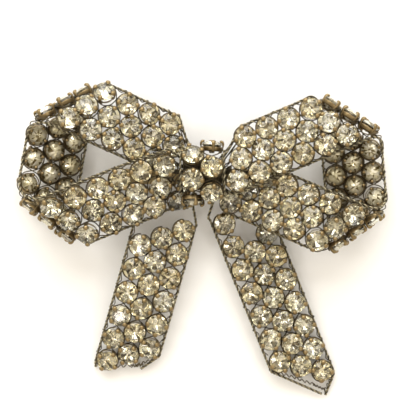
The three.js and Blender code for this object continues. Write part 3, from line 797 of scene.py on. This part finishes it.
# ---- Tails -------------------------------------------------------------------
for side, strip in TAILS.items():
    rows = {"outer": strip["top"], "middle": 0, "inner": -strip["top"]}
    binding = Build()
    for row, (first, last) in TAIL_ROWS[side].items():
        v = rows[row] * strip["spacing"]
        ks = list(np.arange(first, last + 0.1))
        frames = [strip_frame(strip, k * strip["stone_pitch"], v) for k in ks]
        settings(f"{side}_tail_{row}", frames, [f"{side}_tail_{row}_row"], 45)
        weave(binding, strip, v, ks)
    for row in ("outer", "inner"):
        first, last, lead_in = TAIL_EDGES[side, row]
        v = rows[row] * (strip["spacing"] + EDGE_OFFSET)
        start, length, shift = TAIL_CLOSING[side, row]
        stations = []
        for k in np.arange(first, last + 0.01, 0.15):
            share = min(max((k - start) / length, 0), 1)
            stations.append(on_strip(strip, k, v + shift * share, EDGE_Z))
        build = Build()
        twist(build, list(reversed(lead_in)) + stations)
        edge = f"{side}_tail_{row}_edge"
        build.piece(f"{edge}_twist", MAT["wire"], slot="wire", nodes=[f"{edge}_wire"])
        lace(binding, strip, rows[row], first + 0.4, start - 0.1)
    for k, v in TAIL_END_LACING[side]:
        points = []
        for i in range(9):
            share = i / 8
            swing = 0.07 * math.cos(i * math.pi) - 0.06
            along = k[0] + (k[1] - k[0]) * share + swing
            across = v[0] + (v[1] - v[0]) * share
            points.append(on_strip(strip, along, across, 0.6))
        path, _ = smooth_path(points, 0.3)
        tube(binding, path, BINDING_R, 5, tone=rng.uniform(0, 1))
    binding.piece(f"{side}_tail_binding_wires", MAT["binding"], slot="wire")

# ---- Knot --------------------------------------------------------------------
binding = Build()
for side, (x, arcs) in KNOT_ROWS.items():
    names = [f"knot_{side}_chaton_{i + 1}" for i in range(len(arcs))]
    nodes = [f"knot_{side}_stone_{i + 1}" for i in range(len(arcs))]
    frames = [knot_frame(x, arc) for arc in arcs]
    settings(f"knot_{side}", frames, [f"knot_{side}_row"], stone_names=names, stone_nodes=nodes)
    for phase in (1, -1):
        points = []
        for i, arc in enumerate(arcs):
            for du, dv in ((-1.9, 1.6), (-0.9, 2.36), (0.0, HUG_R), (0.9, 2.36), (1.9, 1.6)):
                at = knot_frame(x + phase * (1 if i % 2 == 0 else -1) * dv, arc + du)
                points.append(at[0] + at[3] * 0.9)
        path, _ = smooth_path(points, 0.36)
        tube(binding, path, BINDING_R, 5, tone=0.5)
binding.piece("knot_binding_wires", MAT["binding"], slot="wire")
for side, x, arc_from, arc_to in KNOT_EDGES:
    build = Build()
    points = []
    for arc in np.arange(arc_from, arc_to, 0.5):
        at = knot_frame(x, arc)
        points.append(at[0] + at[3] * EDGE_Z)
    twist(build, points)
    build.piece(f"knot_{side}_edge_twist", MAT["wire"], slot="wire", nodes=[f"knot_{side}_edge_wire"])

# Binding wires gather the ribbon's ends into the knot.
gathered = Build()
ends = []
for side, strip in LOOPS.items():
    for row, across in (("outer", strip["top"]), ("middle", 0), ("inner", -strip["top"])):
        legs = LOOP_ROWS[side][row]
        for k, y, way in ((legs["back_leg"][0], 1.2, -1), (legs["front_leg"][1], 0.8, 1)):
            for v in (-0.5, 0.5):
                ends.append((on_strip(strip, k + way * 0.4, across * strip["spacing"] + v, 0.8), y))
for end, y in ends:
    side = 1 if end[0] > 0 else -1
    for spread in (0.35, 1):
        root = np.array([
            side * rng.uniform(0.5, 4.0),
            y + rng.uniform(-1.2, 1.2),
            6.6 + rng.uniform(-0.8, 1.0),
        ])
        sway = np.array([rng.uniform(-0.6, 0.6), rng.uniform(-0.6, 0.6), -0.5])
        path, _ = smooth_path([end, end * 0.55 + root * 0.45 + sway * spread, root], 0.4)
        tube(gathered, path, BINDING_R, 5, tone=rng.uniform(0, 1))
gathered.piece("knot_gathering_wires", MAT["binding"], slot="wire")

# The core is a bundle of binding wire wound round the middle, with necks that the pin is lashed to.
core = Build()
angles = np.linspace(0, CORE_TURNS * 2 * math.pi, CORE_TURNS * 30)
wound = np.stack([
    np.interp(angles, (0, angles[-1]), CORE_SPAN),
    KNOT_Y + CORE_HALF_Y * np.cos(angles) * (1 - 0.3 * np.abs(np.linspace(-1, 1, len(angles))) ** 3),
    KNOT_Z - 0.1 + CORE_HALF_Z * np.sin(angles),
], 1)
tube(core, wound, CORE_WIRE_R, 6, tone=0.4)
for i in range(NECK_STRANDS):
    a = i / NECK_STRANDS * 2 * math.pi
    xs = np.linspace(-9.7, 7.3, 60)
    turn = a + xs * 0.7
    bundle = np.stack([xs, 1 + NECK_SPREAD * np.cos(turn), 6.45 + NECK_SPREAD * np.sin(turn)], 1)
    tube(core, bundle, 0.19, 6, tone=0.5)
# A plain filler closes the winding from inside.
filler_sides = 28
filler_angles = np.arange(filler_sides) / filler_sides * 2 * math.pi
filler = []
for x, grow in ((-1.6, 0.72), (-1.3, 0.97), (2.7, 0.97), (3.0, 0.72)):
    filler.append(np.stack([
        np.full(filler_sides, x),
        KNOT_Y + 3.7 * grow * np.cos(filler_angles),
        KNOT_Z - 0.1 + 1.85 * grow * np.sin(filler_angles),
    ], 1))
core.add(np.vstack(filler), ring_faces(len(filler), filler_sides), tone=0.1)
core.piece("knot_core_winding", MAT["binding"], slot="core", nodes=["knot_core"])

# ---- Pin ---------------------------------------------------------------------
def softened(node_name, name, material, body, width):
    """The CAD piece with its sharp edges rounded a little."""
    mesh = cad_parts[node_name].data.copy()
    mesh.name = name
    mesh.materials.clear()
    mesh.materials.append(material)
    obj = bpy.data.objects.new(name, mesh)
    register(obj, body, [node_name])
    weld = obj.modifiers.new("weld", "WELD")
    weld.merge_threshold = 1e-6
    bevel = obj.modifiers.new("soft_edges", "BEVEL")
    bevel.width = width * MM
    bevel.segments = 3
    bevel.limit_method = "ANGLE"
    bevel.angle_limit = math.radians(35)
    bevel.harden_normals = False
    for polygon in mesh.polygons:
        polygon.use_smooth = True
    layer = mesh.attributes.new("tone", "FLOAT", "POINT")
    layer.data.foreach_set("value", [0.6] * len(mesh.vertices))
    normals = obj.modifiers.new("even_normals", "WEIGHTED_NORMAL")
    normals.keep_sharp = False


softened("pin_bar", "pin_bar_strip", MAT["pin"], "brooch", 0.18)
softened("hinge_bracket", "hinge_bracket_soft", MAT["pin"], "brooch", 0.1)
softened("catch_barrel", "catch_barrel_soft", MAT["pin"], "brooch", 0.06)
softened("catch_lock", "catch_lock_soft", MAT["steel"], "lock", 0.06)
softened("hinge_rivet", "hinge_rivet_soft", MAT["steel"], "brooch", 0.05)

# The stem's wire makes a coil round the rivet, then runs straight to a ground point.
_, stem_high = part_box("pin_stem")
rivet_low, rivet_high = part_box("hinge_rivet")
hinge = (np.array(rivet_low + rivet_high) / 2) / MM - OFFSET
stem = Build()
coil_r = 0.9
coil_angles = np.linspace(math.pi * 0.5, math.pi * 6.5, 150)
coil = np.stack([
    hinge[0] + coil_r * np.cos(coil_angles),
    hinge[1] + np.interp(coil_angles, (coil_angles[0], coil_angles[-1]), (-0.5, 0.35)),
    hinge[2] + coil_r * np.sin(coil_angles),
], 1)
tube(stem, coil, 0.3, 10, tone=0.8)
tip = stem_high.x / MM - OFFSET[0]
xs = np.r_[np.linspace(hinge[0] + 0.75, tip - 4, 40), np.linspace(tip - 3.9, tip, 24)]
reach = np.clip((tip - xs) / 4, 0, 1)
radius = 0.5 * np.clip(reach, 0.03, 1) ** 0.6
straight = np.stack([xs, np.full(len(xs), hinge[1]), np.full(len(xs), hinge[2])], 1)
tube(stem, straight, radius, 16, tone=0.8)
stem.piece("pin_stem_wire", MAT["steel"], body="stem", slot="steel", nodes=["pin_stem"])

# Three turns of wire lash the bar on at each side, rounded squares in section.
for side in ("left", "right"):
    low, high = (np.array(corner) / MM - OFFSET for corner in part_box(f"bar_lashing_{side}"))
    half = (high[1] - low[1]) / 2 - 0.3
    tall = (high[2] - low[2]) / 2 - 0.3
    middle = (low + high) / 2
    build = Build()
    angles = np.linspace(0, 3 * 2 * math.pi, 150)
    square = np.abs(np.cos(angles)) ** 6 + np.abs(np.sin(angles)) ** 6
    grow = square ** (-1 / 6)
    points = np.stack([
        middle[0] + np.interp(angles, (0, angles[-1]), (-0.42, 0.42)),
        middle[1] + half * grow * np.cos(angles),
        middle[2] + tall * grow * np.sin(angles),
    ], 1)
    tube(build, points, 0.2, 8, tone=0.5)
    build.piece(f"bar_lashing_{side}_wraps", MAT["binding"], slot="wire", nodes=[f"bar_lashing_{side}"])

# ---- Stage, light and camera -------------------------------------------------
floor_mesh = bpy.data.meshes.new("table_top")
reach = 1.5
corners = [(-reach, -reach, 0), (reach, -reach, 0), (reach, reach, 0), (-reach, reach, 0)]
floor_mesh.from_pydata(corners, [], [(0, 1, 2, 3)])
floor_mesh.materials.append(floor_material("pale_table"))
floor = bpy.data.objects.new("table_top", floor_mesh)
floor.location.z = -0.0002
bpy.context.scene.collection.objects.link(floor)
floor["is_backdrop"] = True

world = bpy.data.worlds.new("soft_room")
bpy.context.scene.world = world
world.use_nodes = True
tree = world.node_tree
sky = tree.nodes["Background"]
direction = tree.nodes.new("ShaderNodeTexCoord").outputs["Generated"]
split = tree.nodes.new("ShaderNodeSeparateXYZ")
tree.links.new(direction, split.inputs[0])
stops = [(0.0, (0.78, 0.71, 0.6)), (0.3, (0.84, 0.78, 0.67)), (1.0, (0.98, 0.88, 0.75))]
shade = ramp(tree, split.outputs["Z"], stops)
tree.links.new(shade, sky.inputs["Color"])
sky.inputs["Strength"].default_value = 1.0


def area_light(name, location, size, power, colour):
    """A rectangular light aimed at the brooch."""
    data = bpy.data.lights.new(name, "AREA")
    data.shape = "RECTANGLE"
    data.size, data.size_y = size
    data.energy = power
    data.color = colour
    light = bpy.data.objects.new(name, data)
    light.location = location
    light.rotation_euler = (BROOCH_MIDDLE - Vector(location)).to_track_quat("-Z", "Y").to_euler()
    bpy.context.scene.collection.objects.link(light)


BROOCH_MIDDLE = Vector((0, 0, 0.008))
LAMP_COLOUR = (1.0, 0.97, 0.92)
area_light("window", (-0.05, 0.75, 0.52), (1.1, 0.7), 10.0, (0.97, 0.99, 1.0))
area_light("lamp_left", (-0.5, 0.1, 0.6), (0.1, 0.1), 0.5, LAMP_COLOUR)
area_light("lamp_right", (0.45, -0.25, 0.7), (0.1, 0.1), 0.5, LAMP_COLOUR)
area_light("lamp_front", (-0.12, -0.35, 0.8), (0.12, 0.12), 0.5, LAMP_COLOUR)
bpy.context.scene.view_settings.view_transform = "Standard"

camera_data = bpy.data.cameras.new("camera")
camera_data.lens = 120.7
camera_data.sensor_width = 36
camera_data.clip_start = 0.01
camera = bpy.data.objects.new("camera", camera_data)
# It looks straight down, a little off the ribbon's origin.
camera.location = (OFFSET[0] * MM + 0.00119, OFFSET[1] * MM - 0.00762, 0.34)
camera.rotation_euler = (0, 0, 0)
bpy.context.scene.collection.objects.link(camera)
bpy.context.scene.camera = camera

low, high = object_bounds()
